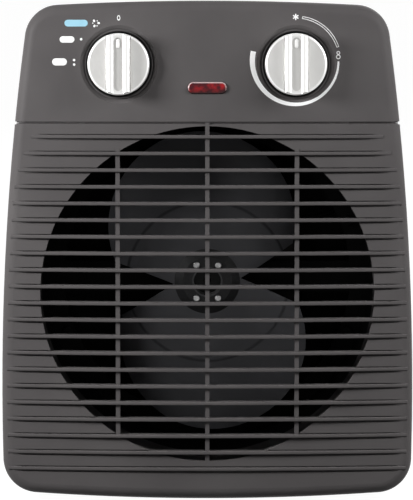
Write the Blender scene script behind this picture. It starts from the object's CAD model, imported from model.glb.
import math

import bmesh
import bpy
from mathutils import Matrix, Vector


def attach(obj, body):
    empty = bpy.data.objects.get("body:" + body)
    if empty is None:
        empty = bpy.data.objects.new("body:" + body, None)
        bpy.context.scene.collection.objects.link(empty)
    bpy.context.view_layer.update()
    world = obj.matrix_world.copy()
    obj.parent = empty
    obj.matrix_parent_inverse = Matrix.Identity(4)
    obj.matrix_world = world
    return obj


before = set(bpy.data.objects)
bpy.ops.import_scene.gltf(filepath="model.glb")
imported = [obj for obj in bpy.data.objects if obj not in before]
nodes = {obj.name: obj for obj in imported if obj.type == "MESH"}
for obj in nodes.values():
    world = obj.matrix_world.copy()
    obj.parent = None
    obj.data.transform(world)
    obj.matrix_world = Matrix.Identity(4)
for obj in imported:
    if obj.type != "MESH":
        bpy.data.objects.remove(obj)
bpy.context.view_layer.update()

# Studio: the heater stands on a plain pale floor in front of white, with a soft box at each side.
# Weaker lamps above and behind fill its top and its back.
# The camera looks straight at the front from slightly above, near enough for gentle perspective.
IMAGE_WIDTH, IMAGE_HEIGHT = 413, 500
FOCAL_PIXELS = 2630.0
CENTRE_PIXEL = (207.3, 242.3)
SENSOR_HEIGHT = 24.0
CAMERA_ELEVATION = math.radians(7.56)
CAMERA_DISTANCE = 1.35
CAMERA_AIM = Vector((0.0, 0.0, 0.123))
camera_data = bpy.data.cameras.new("camera")
camera_data.sensor_fit = "VERTICAL"
camera_data.sensor_height = SENSOR_HEIGHT
camera_data.lens = SENSOR_HEIGHT * FOCAL_PIXELS / IMAGE_HEIGHT
camera_data.shift_x = (IMAGE_WIDTH / 2 - CENTRE_PIXEL[0]) / IMAGE_HEIGHT
camera_data.shift_y = (CENTRE_PIXEL[1] - IMAGE_HEIGHT / 2) / IMAGE_HEIGHT
camera = bpy.data.objects.new("camera", camera_data)
bpy.context.collection.objects.link(camera)
sight = Vector((0.0, math.cos(CAMERA_ELEVATION), -math.sin(CAMERA_ELEVATION)))
camera.location = CAMERA_AIM - sight * CAMERA_DISTANCE
camera.rotation_euler = sight.to_track_quat("-Z", "Y").to_euler()
bpy.context.scene.camera = camera
bpy.context.scene.view_settings.view_transform = "Standard"
LAMP_AIM = Vector((0.0, -0.05, 0.12))


def soft_lamp(name, place, size, watts):
    """A square soft box that looks from its place at the middle of the front."""
    lamp = bpy.data.lights.new(name, "AREA")
    lamp.shape = "SQUARE"
    lamp.size = size
    lamp.energy = watts
    lamp_object = bpy.data.objects.new(name, lamp)
    lamp_object.location = place
    lamp_object.rotation_euler = (LAMP_AIM - Vector(place)).to_track_quat("-Z", "Y").to_euler()
    bpy.context.collection.objects.link(lamp_object)


soft_lamp("left_lamp", (-0.41, -0.27, 0.31), size=0.14, watts=2.78)
soft_lamp("right_lamp", (0.42, -0.24, 0.38), size=0.26, watts=2.18)
soft_lamp("top_lamp", (0.0, -0.12, 0.80), size=0.16, watts=0.12)
soft_lamp("rear_lamp", (0.5, 1.3, 1.1), size=0.8, watts=6.7)


def add_node(tree, kind, links, **settings):
    """A node's outputs; its inputs are fed from other nodes' outputs or set to plain values."""
    node = tree.nodes.new(kind)
    for setting, value in settings.items():
        setattr(node, setting, value)
    for socket, source in links.items():
        if isinstance(source, bpy.types.NodeSocket):
            tree.links.new(source, node.inputs[socket])
        else:
            node.inputs[socket].default_value = source
    return node.outputs


def reckon(tree, operation, *terms):
    """The result of one step of arithmetic."""
    return add_node(tree, "ShaderNodeMath", dict(enumerate(terms)), operation=operation)["Value"]


def seen_rays(tree):
    """1 for rays that show the background: straight to the camera, mirrored or through glass."""
    path = add_node(tree, "ShaderNodeLightPath", {})
    mirrored = reckon(tree, "MAXIMUM", path["Is Glossy Ray"], path["Is Transmission Ray"])
    return reckon(tree, "MAXIMUM", path["Is Camera Ray"], mirrored)


WHITE = (1.0, 1.0, 1.0, 1.0)
ROOM_LIGHT, BACKDROP_LIGHT = 0.05, 1.0
world = bpy.data.worlds.new("studio")
bpy.context.scene.world = world
world.use_nodes = True
sky = world.node_tree
sky.nodes.clear()
room = add_node(sky, "ShaderNodeBackground", {"Color": WHITE, "Strength": ROOM_LIGHT})["Background"]
backdrop = add_node(sky, "ShaderNodeBackground", {"Color": WHITE, "Strength": BACKDROP_LIGHT})["Background"]
surroundings = add_node(sky, "ShaderNodeMixShader", {"Fac": seen_rays(sky), 1: room, 2: backdrop})["Shader"]
add_node(sky, "ShaderNodeOutputWorld", {"Surface": surroundings})

FLOOR_HALF = 12.0
FLOOR_GREY, FLOOR_GLOW = (0.15, 0.15, 0.15, 1.0), 0.98
floor_mesh = bpy.data.meshes.new("floor")
floor_corners = [(x * FLOOR_HALF, y * FLOOR_HALF, 0) for x, y in ((-1, -1), (1, -1), (1, 1), (-1, 1))]
floor_mesh.from_pydata(floor_corners, [], [(0, 1, 2, 3)])
floor = bpy.data.objects.new("floor", floor_mesh)
bpy.context.collection.objects.link(floor)
floor_paint = bpy.data.materials.new("floor_paint")
floor_paint.use_nodes = True
paint = floor_paint.node_tree
paint.nodes.clear()
shaded = add_node(paint, "ShaderNodeBsdfDiffuse", {"Color": FLOOR_GREY})["BSDF"]
glow = add_node(paint, "ShaderNodeEmission", {"Strength": reckon(paint, "MULTIPLY", seen_rays(paint), FLOOR_GLOW)})
floor_look = add_node(paint, "ShaderNodeAddShader", {0: shaded, 1: glow["Emission"]})["Shader"]
add_node(paint, "ShaderNodeOutputMaterial", {"Surface": floor_look})
floor.data.materials.append(floor_paint)

# Rear shell: the deep back half of the case, one moulding of dark warm-grey plastic with a very fine etched grain.
# Its air slots, grip recess and screw posts come out of the same mould, and screws from behind close the case.


def new_group(name, kind, takes, gives):
    """An empty node group with its named sockets, and the values that are given to it."""
    group = bpy.data.node_groups.new(name, kind)
    for way, sockets in (("INPUT", takes), ("OUTPUT", gives)):
        for socket_name, socket_type in sockets.items():
            group.interface.new_socket(socket_name, in_out=way, socket_type="NodeSocket" + socket_type)
    return group, add_node(group, "NodeGroupInput", {})


SURFACE_GIVES = {"Height": "Float", "Mottle": "Float"}


def grain_group():
    """Shared surface of etched mouldings: a fine height, and a slow mottle for colour and gloss."""
    takes = {"Grain Scale": "Float", "Mottle Scale": "Float"}
    group, given = new_group("etched_grain", "ShaderNodeTree", takes, SURFACE_GIVES)
    spot = add_node(group, "ShaderNodeTexCoord", {})["Object"]
    grain = {"Vector": spot, "Scale": given["Grain Scale"]}
    pits = add_node(group, "ShaderNodeTexVoronoi", grain, feature="SMOOTH_F1")["Distance"]
    fuzz = add_node(group, "ShaderNodeTexNoise", {**grain, "Detail": 3.0})["Fac"]
    slow = add_node(group, "ShaderNodeTexNoise", {"Vector": spot, "Scale": given["Mottle Scale"], "Detail": 4.0})["Fac"]
    add_node(group, "NodeGroupOutput", {"Height": reckon(group, "ADD", pits, fuzz), "Mottle": slow})
    return group


etched_grain = grain_group()


def fade(tree, value, start, full, low=0.0, high=1.0, **settings):
    """Goes from low, where the value is at start, to high, where it is at full."""
    links = {"Value": value, "From Min": start, "From Max": full, "To Min": low, "To Max": high}
    return add_node(tree, "ShaderNodeMapRange", links, **settings)["Result"]


TINT_SPAN, GLOSS_SPAN, BUMP_STRENGTH = (0.32, 0.68), (0.25, 0.75), 0.6


def surface_material(name, group, group_values, colours, roughness, depth, tint_span=TINT_SPAN, **fixed):
    """A material whose colour, gloss and bump come from a shared group; fixed names the shader's own sockets."""
    material = bpy.data.materials.new(name)
    material.use_nodes = True
    tree = material.node_tree
    shader = tree.nodes["Principled BSDF"].inputs
    surface = add_node(tree, "ShaderNodeGroup", group_values, node_tree=group)
    tint = add_node(tree, "ShaderNodeValToRGB", {"Fac": surface["Mottle"]})["Color"]
    for stop, place, colour in zip(tint.node.color_ramp.elements, tint_span, colours):
        stop.position = place
        stop.color = (*colour, 1.0)
    bump = {"Strength": BUMP_STRENGTH, "Distance": depth, "Height": surface["Height"]}
    tree.links.new(tint, shader["Base Color"])
    tree.links.new(fade(tree, surface["Mottle"], *GLOSS_SPAN, *roughness), shader["Roughness"])
    tree.links.new(add_node(tree, "ShaderNodeBump", bump)["Normal"], shader["Normal"])
    for socket_name, value in fixed.items():
        shader[socket_name.replace("_", " ")].default_value = value
    return material


def dress(material, *names):
    """Puts a material on carried-over nodes."""
    for node_name in names:
        slots = nodes[node_name].data.materials
        slots.clear()
        slots.append(material)


case_plastic = surface_material(
    "case_plastic", etched_grain, {"Grain Scale": 1700.0, "Mottle Scale": 30.0},
    ((0.093, 0.087, 0.088), (0.107, 0.1005, 0.101)), roughness=(0.44, 0.50), depth=0.00002, Specular_IOR_Level=0.06,
)
dress(case_plastic, "rear_shell")

# Feet: four soft black rubber pads that keep the heater from sliding and from marking what it stands on.
# Each is moulded in one piece with a stem, which is pushed into the base.
foot_rubber = surface_material(
    "foot_rubber", etched_grain, {"Grain Scale": 900.0, "Mottle Scale": 120.0},
    ((0.012, 0.012, 0.012), (0.022, 0.021, 0.020)), roughness=(0.75, 0.9), depth=0.00004,
)
dress(foot_rubber, "foot_front_left", "foot_front_right", "foot_rear_left", "foot_rear_right")

# Cord entry: a black moulded gland in the rear wall, with a clamp bar screwed down behind it.
# The ivory terminal block on its pad joins the supply to the wires inside.
gland_plastic = surface_material(
    "gland_plastic", etched_grain, {"Grain Scale": 1200.0, "Mottle Scale": 80.0},
    ((0.014, 0.014, 0.014), (0.022, 0.022, 0.022)), roughness=(0.5, 0.6), depth=0.00002,
)
control_plastic = surface_material(
    "control_plastic", etched_grain, {"Grain Scale": 1400.0, "Mottle Scale": 60.0},
    ((0.52, 0.49, 0.42), (0.60, 0.57, 0.50)), roughness=(0.42, 0.52), depth=0.00001,
)
dress(gland_plastic, "cord_gland", "cord_clamp")
dress(control_plastic, "terminal_block")

# Heating element: rows of ceramic stones pressed between blackened aluminium fins, with brass tabs at their ends.
# A black heat-proof frame on four standoffs carries the two blocks behind the fan.
# The thermal cut-out, a small bright can, sits on the rear of the frame.


def reckon_vector(tree, operation, *terms):
    """The outputs of one step of vector arithmetic."""
    return add_node(tree, "ShaderNodeVectorMath", dict(enumerate(terms)), operation=operation)


def streak_group():
    """Shared surface of rolled, drawn and turned metal: fine streaks along one direction and a slow mottle."""
    takes = {"Stretch": "Vector", "Mottle Scale": "Float"}
    group, given = new_group("metal_streaks", "ShaderNodeTree", takes, SURFACE_GIVES)
    spot = add_node(group, "ShaderNodeTexCoord", {})["Object"]
    drawn = reckon_vector(group, "MULTIPLY", spot, given["Stretch"])["Vector"]
    lines = add_node(group, "ShaderNodeTexNoise", {"Vector": drawn, "Scale": 1.0, "Detail": 4.0})["Fac"]
    slow = add_node(group, "ShaderNodeTexNoise", {"Vector": spot, "Scale": given["Mottle Scale"], "Detail": 3.0})["Fac"]
    mottle = add_node(group, "ShaderNodeMix", {"Factor": 0.5, "A": lines, "B": slow})["Result"]
    add_node(group, "NodeGroupOutput", {"Height": lines, "Mottle": mottle})
    return group


metal_streaks = streak_group()
ALONG_X, ALONG_Y, ALONG_Z = (60.0, 2400.0, 2400.0), (2400.0, 60.0, 2400.0), (2400.0, 2400.0, 60.0)
DUCT_BLACKS = ((0.0016, 0.0016, 0.0016), (0.0028, 0.0028, 0.0028))
fin_aluminium = surface_material(
    "fin_aluminium", metal_streaks, {"Stretch": ALONG_Y, "Mottle Scale": 90.0},
    ((0.010, 0.010, 0.010), (0.016, 0.016, 0.016)),
    roughness=(0.5, 0.62), depth=0.000006, Metallic=0.3, Specular_IOR_Level=0.1,
)
element_ceramic = surface_material(
    "element_ceramic", etched_grain, {"Grain Scale": 2600.0, "Mottle Scale": 200.0},
    ((0.014, 0.013, 0.012), (0.022, 0.021, 0.020)), roughness=(0.7, 0.85), depth=0.00003, Specular_IOR_Level=0.1,
)
duct_plastic = surface_material(
    "duct_plastic", etched_grain, {"Grain Scale": 1500.0, "Mottle Scale": 50.0},
    DUCT_BLACKS, roughness=(0.6, 0.7), depth=0.00002, Specular_IOR_Level=0.06,
)
tab_brass = surface_material(
    "tab_brass", metal_streaks, {"Stretch": ALONG_X, "Mottle Scale": 300.0},
    ((0.52, 0.38, 0.15), (0.66, 0.50, 0.22)), roughness=(0.25, 0.4), depth=0.000005, Metallic=1.0,
)
bright_steel = surface_material(
    "bright_steel", metal_streaks, {"Stretch": ALONG_Z, "Mottle Scale": 240.0},
    ((0.46, 0.46, 0.47), (0.60, 0.60, 0.61)), roughness=(0.26, 0.4), depth=0.000005, Metallic=1.0,
)
dress(fin_aluminium, "upper_fin_rows", "lower_fin_rows")
dress(element_ceramic, "upper_ceramic_stones", "lower_ceramic_stones")
dress(duct_plastic, "element_frame")
dress(tab_brass, "element_tabs")
dress(bright_steel, "thermal_cutout")

# Motor: a shaded-pole motor of blued laminations, with a dark taped coil on a black bobbin round one leg.
# Two pressed bridges with bronze bushes carry the shaft.
# A pressed ring with four arms, painted black, carries the motor on the columns of the shroud.
lamination_steel = surface_material(
    "lamination_steel", metal_streaks, {"Stretch": (60.0, 3200.0, 60.0), "Mottle Scale": 120.0},
    ((0.012, 0.012, 0.013), (0.022, 0.022, 0.023)),
    roughness=(0.5, 0.6), depth=0.00006, Metallic=0.3, Specular_IOR_Level=0.1,
)
coil_tape = surface_material(
    "coil_tape", metal_streaks, {"Stretch": (80.0, 80.0, 2600.0), "Mottle Scale": 160.0},
    ((0.004, 0.0035, 0.003), (0.008, 0.0065, 0.005)), roughness=(0.5, 0.6), depth=0.00012, Specular_IOR_Level=0.1,
)
pressed_steel = surface_material(
    "pressed_steel", metal_streaks, {"Stretch": ALONG_X, "Mottle Scale": 70.0},
    ((0.012, 0.012, 0.012), (0.020, 0.020, 0.020)),
    roughness=(0.45, 0.55), depth=0.000008, Metallic=0.3, Specular_IOR_Level=0.1,
)
bracket_paint = surface_material(
    "bracket_paint", etched_grain, {"Grain Scale": 1100.0, "Mottle Scale": 60.0},
    DUCT_BLACKS, roughness=(0.6, 0.7), depth=0.00003, Specular_IOR_Level=0.06,
)
dress(lamination_steel, "stator_stack", "rotor")
dress(coil_tape, "motor_coil")
dress(duct_plastic, "coil_bobbin")
dress(pressed_steel, "front_bridge", "rear_bridge")
dress(tab_brass, "shaft_bushes")
dress(bracket_paint, "motor_bracket", "motor_shaft")

# Shroud: a black moulded tube round the fan, which guides the air and shows as the dark edge of the opening.
# Four long screws go through its columns into the posts of the grille.
dress(duct_plastic, "fan_shroud")

# Fan: two broad paddles bent from one sheet of dark-coated steel, with a ring line pressed into it.
# Four rivets hold the sheet on a turned hub, which is black in its bore and bright round it.
FAN_AXIS = (0.0, 0.0, 0.1044)
BEAD_RADIUS, BEAD_HALF_WIDTH, BEAD_CREST, BEAD_HEIGHT = 0.041, 0.0011, 0.0003, 9.0
BEAD_SHADE = (0.052, 0.052, 0.056)
HUB_EDGE_WIDTH = 0.0003
HUB_BRIGHT_RADIUS, HUB_BRIGHT = 0.0079, (0.095, 0.095, 0.098)
HUB_BLACK_RADIUS, HUB_BLACK = 0.0070, (0.002, 0.002, 0.002)


def fan_reach_group():
    """Shared measure of what turns: the distance from the fan's axis."""
    group, given = new_group("fan_reach", "ShaderNodeTree", {"Axis": "Vector"}, {"Radius": "Float"})
    spot = add_node(group, "ShaderNodeTexCoord", {})["Object"]
    off_axis = reckon_vector(group, "SUBTRACT", spot, given["Axis"])["Vector"]
    across = reckon_vector(group, "MULTIPLY", off_axis, (1.0, 0.0, 1.0))["Vector"]
    add_node(group, "NodeGroupOutput", {"Radius": reckon_vector(group, "LENGTH", across)["Value"]})
    return group


fan_reach = fan_reach_group()
MIX_FACTOR, MIX_BELOW, MIX_ABOVE, MIX_RESULT = 0, 6, 7, 2


def recolour(material, mask, colour):
    """Lays one more colour over a material where the mask is 1."""
    tree = material.node_tree
    base = tree.nodes["Principled BSDF"].inputs["Base Color"]
    layers = {MIX_FACTOR: mask, MIX_BELOW: base.links[0].from_socket, MIX_ABOVE: (*colour, 1.0)}
    tree.links.new(add_node(tree, "ShaderNodeMix", layers, data_type="RGBA")[MIX_RESULT], base)


fan_paint = surface_material(
    "fan_paint", etched_grain, {"Grain Scale": 700.0, "Mottle Scale": 24.0},
    ((0.094, 0.094, 0.100), (0.112, 0.112, 0.120)), roughness=(0.42, 0.5), depth=0.00003, Specular_IOR_Level=0.12,
)
hub_metal = surface_material(
    "hub_metal", metal_streaks, {"Stretch": (900.0, 60.0, 900.0), "Mottle Scale": 160.0},
    ((0.022, 0.022, 0.023), (0.035, 0.035, 0.036)), roughness=(0.4, 0.5), depth=0.00001, Specular_IOR_Level=0.15,
)
rivet_steel = surface_material(
    "rivet_steel", metal_streaks, {"Stretch": ALONG_Y, "Mottle Scale": 500.0},
    ((0.18, 0.18, 0.18), (0.64, 0.64, 0.64)), roughness=(0.26, 0.36), depth=0.00003, Metallic=1.0,
)
sheet = fan_paint.node_tree
sheet_radius = add_node(sheet, "ShaderNodeGroup", {"Axis": FAN_AXIS}, node_tree=fan_reach)["Radius"]
off_bead = reckon(sheet, "ABSOLUTE", reckon(sheet, "SUBTRACT", sheet_radius, BEAD_RADIUS))
bead = fade(sheet, off_bead, BEAD_HALF_WIDTH, 0.0, 0.0, BEAD_HEIGHT, interpolation_type="SMOOTHSTEP")
sheet_height = sheet.nodes["Bump"].inputs["Height"]
sheet.links.new(reckon(sheet, "ADD", bead, sheet_height.links[0].from_socket), sheet_height)
recolour(fan_paint, fade(sheet, off_bead, BEAD_HALF_WIDTH, BEAD_CREST), BEAD_SHADE)
hub = hub_metal.node_tree
hub_radius = add_node(hub, "ShaderNodeGroup", {"Axis": FAN_AXIS}, node_tree=fan_reach)["Radius"]
for edge, hub_colour in ((HUB_BRIGHT_RADIUS, HUB_BRIGHT), (HUB_BLACK_RADIUS, HUB_BLACK)):
    recolour(hub_metal, fade(hub, hub_radius, edge, edge - HUB_EDGE_WIDTH), hub_colour)
dress(fan_paint, "fan_blades")
dress(hub_metal, "fan_hub")
dress(rivet_steel, "fan_rivets")

# Front grille: the lower front moulding, one piece with its 21 bowed slats, three ribs and the collar.
# It is the same etched dark grey plastic as the rear shell and is screwed to it from behind.
dress(case_plastic, "front_grille")

# Control panel: the upper front moulding, of the same etched plastic, with a well for each knob and the lens hole.
# It is screwed to the grille along the seam. The wells are black where the gap round a knob shows them.
FACE_LEAN = math.radians(4.0)
FACE_FOOT = (0.0, -0.062, 0.002)
KNOB_AXIS = (0.0435, 0.2159, 0.0)
GAP_FULL, GAP_END = 0.0161, 0.0168
GAP_BLACK = (0.002, 0.002, 0.002)


def face_place_group():
    """Shared measure of the leaning face: from its middle, up it, out of it, and from the nearer knob's axis."""
    takes = {"Face Foot": "Vector", "Face Lean": "Float", "Knob Axis": "Vector"}
    gives = {"From Middle": "Float", "Rise": "Float", "Height": "Float", "From Axis": "Float"}
    group, given = new_group("face_place", "ShaderNodeTree", takes, gives)
    spot = add_node(group, "ShaderNodeTexCoord", {})["Object"]
    from_foot = reckon_vector(group, "SUBTRACT", spot, given["Face Foot"])["Vector"]
    lean = {"Vector": from_foot, "Angle": given["Face Lean"]}
    upright = add_node(group, "ShaderNodeVectorRotate", lean, rotation_type="X_AXIS")["Vector"]
    place = add_node(group, "ShaderNodeSeparateXYZ", {"Vector": upright})
    from_middle = reckon(group, "ABSOLUTE", place["X"])
    on_disc = add_node(group, "ShaderNodeCombineXYZ", {"X": from_middle, "Y": place["Z"]})["Vector"]
    from_axis = reckon_vector(group, "DISTANCE", on_disc, given["Knob Axis"])["Value"]
    height = reckon(group, "MULTIPLY", place["Y"], -1.0)
    results = {"From Middle": from_middle, "Rise": place["Z"], "Height": height, "From Axis": from_axis}
    add_node(group, "NodeGroupOutput", results)
    return group


face_place = face_place_group()
FACE_VALUES = {"Face Foot": FACE_FOOT, "Face Lean": FACE_LEAN, "Knob Axis": KNOB_AXIS}
panel_plastic = case_plastic.copy()
panel_plastic.name = "panel_plastic"
panel = panel_plastic.node_tree
panel_place = add_node(panel, "ShaderNodeGroup", FACE_VALUES, node_tree=face_place)
recolour(panel_plastic, fade(panel, panel_place["From Axis"], GAP_END, GAP_FULL), GAP_BLACK)
dress(panel_plastic, "control_panel")

# Rotary switch, thermostat and pilot lamp: small bought-in parts screwed to the back of the panel.
# Ivory housings, dark covers, a bright bimetal strip, brass tabs and a clear neon bulb.
cover_plastic = surface_material(
    "cover_plastic", etched_grain, {"Grain Scale": 1400.0, "Mottle Scale": 90.0},
    ((0.028, 0.028, 0.030), (0.040, 0.040, 0.042)), roughness=(0.5, 0.6), depth=0.00002,
)
spindle_plastic = surface_material(
    "spindle_plastic", etched_grain, {"Grain Scale": 1800.0, "Mottle Scale": 140.0},
    ((0.42, 0.40, 0.36), (0.50, 0.48, 0.43)), roughness=(0.4, 0.5), depth=0.00001,
)
lamp_glass = surface_material(
    "lamp_glass", etched_grain, {"Grain Scale": 300.0, "Mottle Scale": 120.0},
    ((0.92, 0.88, 0.84), (0.97, 0.95, 0.92)), roughness=(0.03, 0.08), depth=0.00002, Transmission_Weight=0.9, IOR=1.47,
)
dress(control_plastic, "switch_housing", "thermostat_frame", "lamp_holder")
dress(cover_plastic, "switch_cover", "thermostat_cover")
dress(spindle_plastic, "switch_cam", "function_spindle", "thermostat_spindle")
dress(tab_brass, "switch_tabs", "thermostat_tabs")
dress(bright_steel, "bimetal_strip")
dress(lamp_glass, "neon_lamp")

# Knobs: moulded in one piece, satin silver paint over plastic, with a grooved grip bar across each disc.
# The grip is greyer on its sides and rubbed bright on its crests, and the rim of the disc is bright too.
# They push on to flatted spindles, and a small raised tab in the groove points to the setting.
KNOB_GRAIN = {"Grain Scale": 2400.0, "Mottle Scale": 60.0}
GRIP_SIDES = ("Height", 0.0066, 0.0072, (0.56, 0.555, 0.54))
GRIP_CRESTS = ("Height", 0.0097, 0.0106, (0.84, 0.835, 0.825))
DISC_RIM = ("From Axis", 0.0138, 0.0144, (0.95, 0.945, 0.935))
silver_paint = surface_material(
    "silver_paint", etched_grain, KNOB_GRAIN,
    ((0.63, 0.625, 0.61), (0.69, 0.685, 0.67)), roughness=(0.30, 0.36), depth=0.000012, Metallic=0.6,
)
pointer_paint = surface_material(
    "pointer_paint", etched_grain, KNOB_GRAIN,
    ((0.92, 0.915, 0.90), (0.96, 0.955, 0.945)), roughness=(0.36, 0.44), depth=0.00001,
)
knob = silver_paint.node_tree
knob_place = add_node(knob, "ShaderNodeGroup", FACE_VALUES, node_tree=face_place)
for measure, start, full, shine in (GRIP_SIDES, GRIP_CRESTS, DISC_RIM):
    recolour(silver_paint, fade(knob, knob_place[measure], start, full), shine)
dress(silver_paint, "function_knob", "thermostat_knob")
dress(pointer_paint, "function_pointer", "thermostat_pointer")

# Pilot lens: a clear red moulding with a bevelled rim, pushed into the panel from behind.
# Its inside is finely prismed, so the red is mottled. It is darker low down and pale along the upper bevel.
LENS_RISE = 0.2043
LENS_CORE = (0.0068, 0.00015, 0.0)
LENS_BEVEL = (0.0021, 0.0024)
LENS_UPPER, LENS_LOWER = (-0.0016, 0.0004), (-0.0004, -0.0026)
LENS_DARK, LENS_PALE = (0.027, 0.000, 0.001), (0.94, 0.70, 0.70)
lens_red = surface_material(
    "lens_red", etched_grain, {"Grain Scale": 700.0, "Mottle Scale": 260.0},
    ((0.066, 0.000, 0.004), (0.43, 0.008, 0.013)), roughness=(0.10, 0.18), depth=0.00012, tint_span=(0.40, 0.62),
    Transmission_Weight=0.2, IOR=1.49, Specular_IOR_Level=0.2,
)
lens = lens_red.node_tree
lens_place = add_node(lens, "ShaderNodeGroup", FACE_VALUES, node_tree=face_place)
lens_rise = reckon(lens, "SUBTRACT", lens_place["Rise"], LENS_RISE)
lens_quarter = {"X": lens_place["From Middle"], "Y": reckon(lens, "ABSOLUTE", lens_rise)}
lens_spot = add_node(lens, "ShaderNodeCombineXYZ", lens_quarter)["Vector"]
past_core = reckon_vector(lens, "SUBTRACT", lens_spot, LENS_CORE)["Vector"]
off_core = reckon_vector(lens, "MAXIMUM", past_core, (0.0, 0.0, 0.0))["Vector"]
bevel = fade(lens, reckon_vector(lens, "LENGTH", off_core)["Value"], *LENS_BEVEL)
upper_bevel = reckon(lens, "MULTIPLY", bevel, fade(lens, lens_rise, *LENS_UPPER))
recolour(lens_red, fade(lens, lens_rise, *LENS_LOWER), LENS_DARK)
recolour(lens_red, upper_bevel, LENS_PALE)
dress(lens_red, "pilot_lens")

# Dial print: thin white and pale blue ink on the panel round the knobs, in plain marks.
# It is pad-printed on the finished moulding, so it follows the panel's bulge and lean.
# The marks are drawn flat in millimetres, from the middle of the panel's foot.
FACE_RADIUS = 1.0593
INK_ROOT, INK_THICKNESS = -0.00004, 0.00008
MILLIMETRE = 0.001
WELD = 1e-7


def ink_tree():
    """Turns flat marks round a pivot, gives them the thickness of ink and lays them on the bulged face."""
    takes = {
        "Marks": "Geometry", "Turns": "Int", "Turn Step": "Float", "Pivot": "Vector", "Face Radius": "Float",
        "Face Lean": "Float", "Face Foot": "Vector", "Ink Root": "Float", "Ink Thickness": "Float", "Ink": "Material",
    }
    tree, given = new_group("ink_on_face", "GeometryNodeTree", takes, {"Print": "Geometry"})
    pivots = add_node(tree, "GeometryNodePoints", {"Count": given["Turns"], "Position": given["Pivot"]})[0]
    angle = reckon(tree, "MULTIPLY", add_node(tree, "GeometryNodeInputIndex", {})["Index"], given["Turn Step"])
    twist = add_node(tree, "ShaderNodeCombineXYZ", {"Z": angle})["Vector"]
    turn = add_node(tree, "FunctionNodeEulerToRotation", {"Euler": twist})["Rotation"]
    copies = add_node(
        tree, "GeometryNodeInstanceOnPoints", {"Points": pivots, "Instance": given["Marks"], "Rotation": turn}
    )["Instances"]
    flat = add_node(tree, "GeometryNodeRealizeInstances", {"Geometry": copies})["Geometry"]
    raised = add_node(
        tree, "GeometryNodeExtrudeMesh",
        {"Mesh": flat, "Offset Scale": given["Ink Thickness"], "Individual": False}, mode="FACES",
    )["Mesh"]
    under = add_node(tree, "GeometryNodeFlipFaces", {"Mesh": flat})["Mesh"]
    joined = add_node(tree, "GeometryNodeJoinGeometry", {"Geometry": raised})["Geometry"]
    tree.links.new(under, joined.node.inputs["Geometry"])
    closed = add_node(tree, "GeometryNodeMergeByDistance", {"Geometry": joined, "Distance": WELD})["Geometry"]

    spot = add_node(tree, "GeometryNodeInputPosition", {})["Position"]
    place = add_node(tree, "ShaderNodeSeparateXYZ", {"Vector": spot})
    radius_square = reckon(tree, "POWER", given["Face Radius"], 2.0)
    chord_square = reckon(tree, "SUBTRACT", radius_square, reckon(tree, "POWER", place["X"], 2.0))
    sag = reckon(tree, "SUBTRACT", given["Face Radius"], reckon(tree, "SQRT", chord_square))
    inwards = reckon(tree, "SUBTRACT", sag, reckon(tree, "ADD", place["Z"], given["Ink Root"]))
    upright = add_node(tree, "ShaderNodeCombineXYZ", {"X": place["X"], "Y": inwards, "Z": place["Y"]})["Vector"]
    lean = {"Vector": upright, "Angle": reckon(tree, "MULTIPLY", given["Face Lean"], -1.0)}
    leaning = add_node(tree, "ShaderNodeVectorRotate", lean, rotation_type="X_AXIS")["Vector"]
    seat = reckon_vector(tree, "ADD", leaning, given["Face Foot"])["Vector"]
    laid = add_node(tree, "GeometryNodeSetPosition", {"Geometry": closed, "Position": seat})["Geometry"]
    real = add_node(tree, "GeometryNodeRealizeInstances", {"Geometry": laid})["Geometry"]
    inked = add_node(tree, "GeometryNodeSetMaterial", {"Geometry": real, "Material": given["Ink"]})["Geometry"]
    add_node(tree, "NodeGroupOutput", {"Print": inked})
    return tree


ink_on_face = ink_tree()


def printed_piece(name, bm, ink, turns=1, turn_step=0.0, pivot=(0.0, 0.0)):
    """Flat marks (millimetres) printed on the panel; the piece is carried by the housing."""
    bmesh.ops.scale(bm, vec=(MILLIMETRE, MILLIMETRE, MILLIMETRE), verts=bm.verts)
    bmesh.ops.remove_doubles(bm, verts=bm.verts, dist=WELD)
    bm.normal_update()
    for mark in bm.faces:
        if mark.normal.z < 0:
            mark.normal_flip()
    marks = bpy.data.meshes.new(name)
    bm.to_mesh(marks)
    bm.free()
    piece = bpy.data.objects.new(name, marks)
    bpy.context.collection.objects.link(piece)
    layer = piece.modifiers.new("ink", "NODES")
    layer.node_group = ink_on_face
    values = {
        "Turns": turns, "Turn Step": turn_step, "Pivot": (pivot[0] * MILLIMETRE, pivot[1] * MILLIMETRE, 0.0),
        "Face Radius": FACE_RADIUS, "Face Lean": FACE_LEAN, "Face Foot": FACE_FOOT,
        "Ink Root": INK_ROOT, "Ink Thickness": INK_THICKNESS, "Ink": ink,
    }
    for socket in ink_on_face.interface.items_tree:
        if socket.in_out == "INPUT" and socket.name in values:
            layer[socket.identifier] = values[socket.name]
    finished = bpy.data.meshes.new_from_object(piece.evaluated_get(bpy.context.evaluated_depsgraph_get()))
    piece.modifiers.remove(layer)
    piece.data = finished
    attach(piece, "housing")


INK_GRAIN = {"Grain Scale": 2000.0, "Mottle Scale": 200.0}
white_ink = surface_material(
    "white_ink", etched_grain, INK_GRAIN, ((0.94, 0.95, 0.95), (0.99, 0.99, 0.99)),
    roughness=(0.5, 0.6), depth=0.000004,
)
blue_ink = surface_material(
    "blue_ink", etched_grain, INK_GRAIN, ((0.28, 0.54, 0.67), (0.33, 0.60, 0.73)), roughness=(0.5, 0.6), depth=0.000004,
)

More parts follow.
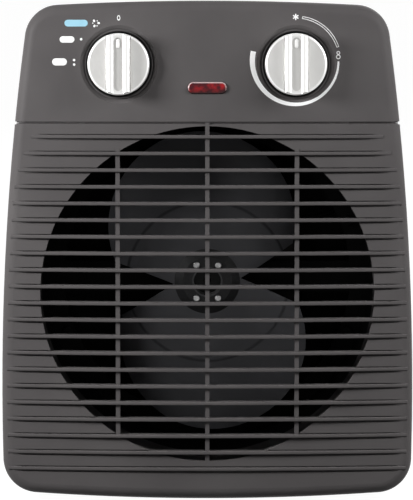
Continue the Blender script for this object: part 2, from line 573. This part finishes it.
# Switch dial: an oval for off, and one and two dots, each with a pill, for the two heat steps, in white ink.
# A blue pill with a small three-bladed fan beside it stands for cool air.
LEFT_DIAL = Vector((-KNOB_AXIS[0], KNOB_AXIS[1])) / MILLIMETRE
OFF_PLACE, OFF_RADIUS, OFF_LINE, OFF_SQUEEZE = (0.0, 22.75), 1.05, 0.5, 0.62
DOT, STEP_PILL = 1.24, 7.27
LOW_PILL_PLACE, LOW_PILL_HEIGHT, LOW_DOTS = (-25.46, 12.2), 3.1, ((-18.5, 12.3),)
HIGH_PILL_PLACE, HIGH_PILL_HEIGHT, HIGH_DOTS = (-29.2, 1.2), 3.5, ((-21.97, 2.1), (-21.97, -0.1))
COOL_PLACE, COOL_PILL, COOL_HEIGHT = (-20.96, 20.2), 11.45, 3.3
AIR_PLACE, AIR_BLADES = (-11.3, 20.1), 3
AIR_BLADE, AIR_TIP = ((1.45, 0.1), 1.3, 1.0), ((0.75, 1.2), 0.6, 0.6)
PILL_TIP, PILL_END_STEPS, RING_STEPS = 5, 9, 24


def flat_strip(bm, inner, outer, closed=False):
    """Flat band between two rows of points."""
    rows = [[bm.verts.new((x, v, 0)) for x, v in row] for row in (inner, outer)]
    count = len(inner)
    for k in range(count if closed else count - 1):
        after = (k + 1) % count
        bm.faces.new((rows[0][k], rows[1][k], rows[1][after], rows[0][after]))


def arc_points(centre, radius, start, stop, steps, squeeze=1.0):
    """Points on an arc; degrees anticlockwise from the right."""
    spots = []
    for k in range(steps):
        turn = math.radians(start + (stop - start) * k / (steps - 1))
        spots.append((centre[0] + radius * squeeze * math.cos(turn), centre[1] + radius * math.sin(turn)))
    return spots


def flat_pill(bm, centre, length, height):
    """Bar with round ends; a dot where it is as long as it is high."""
    reach = (length - height) / 2
    top = arc_points((centre[0] - reach, centre[1]), height / 2, 180 - PILL_TIP, 90, PILL_END_STEPS)
    top += arc_points((centre[0] + reach, centre[1]), height / 2, 90, PILL_TIP, PILL_END_STEPS)
    flat_strip(bm, top, [(x, 2 * centre[1] - v) for x, v in top])


def flat_ring(bm, centre, radius, width, squeeze=1.0):
    """Round or oval line."""
    last = 360 - 360 / RING_STEPS
    inner = arc_points(centre, radius - width / 2, 0, last, RING_STEPS, squeeze)
    outer = arc_points(centre, radius + width / 2, 0, last, RING_STEPS, squeeze)
    flat_strip(bm, inner, outer, closed=True)


switch_marks = bmesh.new()
flat_ring(switch_marks, LEFT_DIAL + Vector(OFF_PLACE), OFF_RADIUS, OFF_LINE, OFF_SQUEEZE)
flat_pill(switch_marks, LEFT_DIAL + Vector(LOW_PILL_PLACE), STEP_PILL, LOW_PILL_HEIGHT)
flat_pill(switch_marks, LEFT_DIAL + Vector(HIGH_PILL_PLACE), STEP_PILL, HIGH_PILL_HEIGHT)
for dot_place in LOW_DOTS + HIGH_DOTS:
    flat_pill(switch_marks, LEFT_DIAL + Vector(dot_place), DOT, DOT)
printed_piece("switch_print", switch_marks, white_ink)
cool_mark = bmesh.new()
flat_pill(cool_mark, LEFT_DIAL + Vector(COOL_PLACE), COOL_PILL, COOL_HEIGHT)
printed_piece("cool_print", cool_mark, blue_ink)
air_blade = bmesh.new()
flat_pill(air_blade, *AIR_BLADE)
flat_pill(air_blade, *AIR_TIP)
printed_piece(
    "air_print", air_blade, white_ink,
    turns=AIR_BLADES, turn_step=2 * math.pi / AIR_BLADES, pivot=LEFT_DIAL + Vector(AIR_PLACE),
)

# Heat dial: a frost star over the knob and an outlined band to the right, with two small rings below its end.
# Under the knob a white crescent widens with the heat.
RIGHT_DIAL = Vector((KNOB_AXIS[0], KNOB_AXIS[1])) / MILLIMETRE
STAR_PLACE, STAR_ARMS, STAR_HALF, STAR_LINE = (-0.1, 23.2), 3, 1.5, 0.58
BAND_CENTRE = RIGHT_DIAL + Vector((0.2, 1.5))
BAND_RADII, BAND_ENDS = (21.1, 22.1), (82, 19)
BAND_LINE, BAND_STEPS = 0.28, 40
RING_X, RING_LINE = 20.9, 0.4
RINGS = ((5.6, 0.72), (3.65, 0.92))
CRESCENT_STEPS, CRESCENT_TURN = 90, 193.0
CRESCENT_INNER, CRESCENT_START, CRESCENT_SWELL = 20.3, 21.2, 1.75


def flat_bar(bm, start, stop, width):
    """Straight line."""
    along = (Vector(stop) - Vector(start)).normalized()
    side = Vector((-along.y, along.x)) * width / 2
    flat_strip(bm, [Vector(start) + side, Vector(stop) + side], [Vector(start) - side, Vector(stop) - side])


star_arm = bmesh.new()
flat_bar(star_arm, (0.0, -STAR_HALF), (0.0, STAR_HALF), STAR_LINE)
printed_piece(
    "frost_print", star_arm, white_ink,
    turns=STAR_ARMS, turn_step=math.pi / STAR_ARMS, pivot=RIGHT_DIAL + Vector(STAR_PLACE),
)
heat_marks = bmesh.new()
for band_radius in BAND_RADII:
    inner = arc_points(BAND_CENTRE, band_radius - BAND_LINE / 2, *BAND_ENDS, BAND_STEPS)
    outer = arc_points(BAND_CENTRE, band_radius + BAND_LINE / 2, *BAND_ENDS, BAND_STEPS)
    flat_strip(heat_marks, inner, outer)
for band_end in BAND_ENDS:
    ray = Vector((math.cos(math.radians(band_end)), math.sin(math.radians(band_end))))
    flat_bar(heat_marks, BAND_CENTRE + ray * BAND_RADII[0], BAND_CENTRE + ray * BAND_RADII[1], BAND_LINE)
for ring_v, ring_radius in RINGS:
    flat_ring(heat_marks, RIGHT_DIAL + Vector((RING_X, ring_v)), ring_radius, RING_LINE)
crescent_inner, crescent_outer = [], []
for k in range(CRESCENT_STEPS):
    share = k / (CRESCENT_STEPS - 1)
    ray = Vector((math.cos(math.radians(CRESCENT_TURN * share)), -math.sin(math.radians(CRESCENT_TURN * share))))
    crescent_inner.append(BAND_CENTRE + ray * CRESCENT_INNER)
    crescent_outer.append(BAND_CENTRE + ray * (CRESCENT_START + CRESCENT_SWELL * share))
flat_strip(heat_marks, crescent_inner, crescent_outer)
printed_piece("heat_print", heat_marks, white_ink)

# Screws: steel pan heads that hold the halves of the case, the panel and everything inside.
# Those of the case, the panel, the clamp and the controls are zinc-plated.
# Those of the motor, the element and the shroud stand in the air duct and are blackened.
SCREW_STREAKS = {"Stretch": (900.0, 900.0, 900.0), "Mottle Scale": 400.0}
screw_steel = surface_material(
    "screw_steel", metal_streaks, SCREW_STREAKS,
    ((0.30, 0.30, 0.30), (0.42, 0.42, 0.42)), roughness=(0.3, 0.45), depth=0.000006, Metallic=1.0,
)
black_screw = surface_material(
    "black_screw", metal_streaks, SCREW_STREAKS,
    ((0.003, 0.003, 0.003), (0.006, 0.006, 0.006)), roughness=(0.5, 0.6), depth=0.000006, Specular_IOR_Level=0.06,
)
dress(screw_steel, "case_screws", "seam_screws", "clamp_screws", "control_screws")
dress(black_screw, "motor_screws", "element_screws", "shroud_screws")

# Wires: copper leads in heat-proof sleeves, led from the terminal block to the controls and on to what they switch.
# Brown sleeves run from the supply to the controls, white ones to the element and the lamp, black ones to the motor.
SLEEVE_GRAIN = {"Grain Scale": 600.0, "Mottle Scale": 90.0}
brown_sleeve = surface_material(
    "brown_sleeve", etched_grain, SLEEVE_GRAIN, ((0.085, 0.036, 0.018), (0.12, 0.05, 0.026)),
    roughness=(0.45, 0.6), depth=0.00003,
)
white_sleeve = surface_material(
    "white_sleeve", etched_grain, SLEEVE_GRAIN, ((0.55, 0.54, 0.51), (0.66, 0.65, 0.62)),
    roughness=(0.5, 0.65), depth=0.00003,
)
dress(brown_sleeve, "supply_wires", "control_wires")
dress(white_sleeve, "element_wires", "lamp_wires")
dress(duct_plastic, "motor_wires")
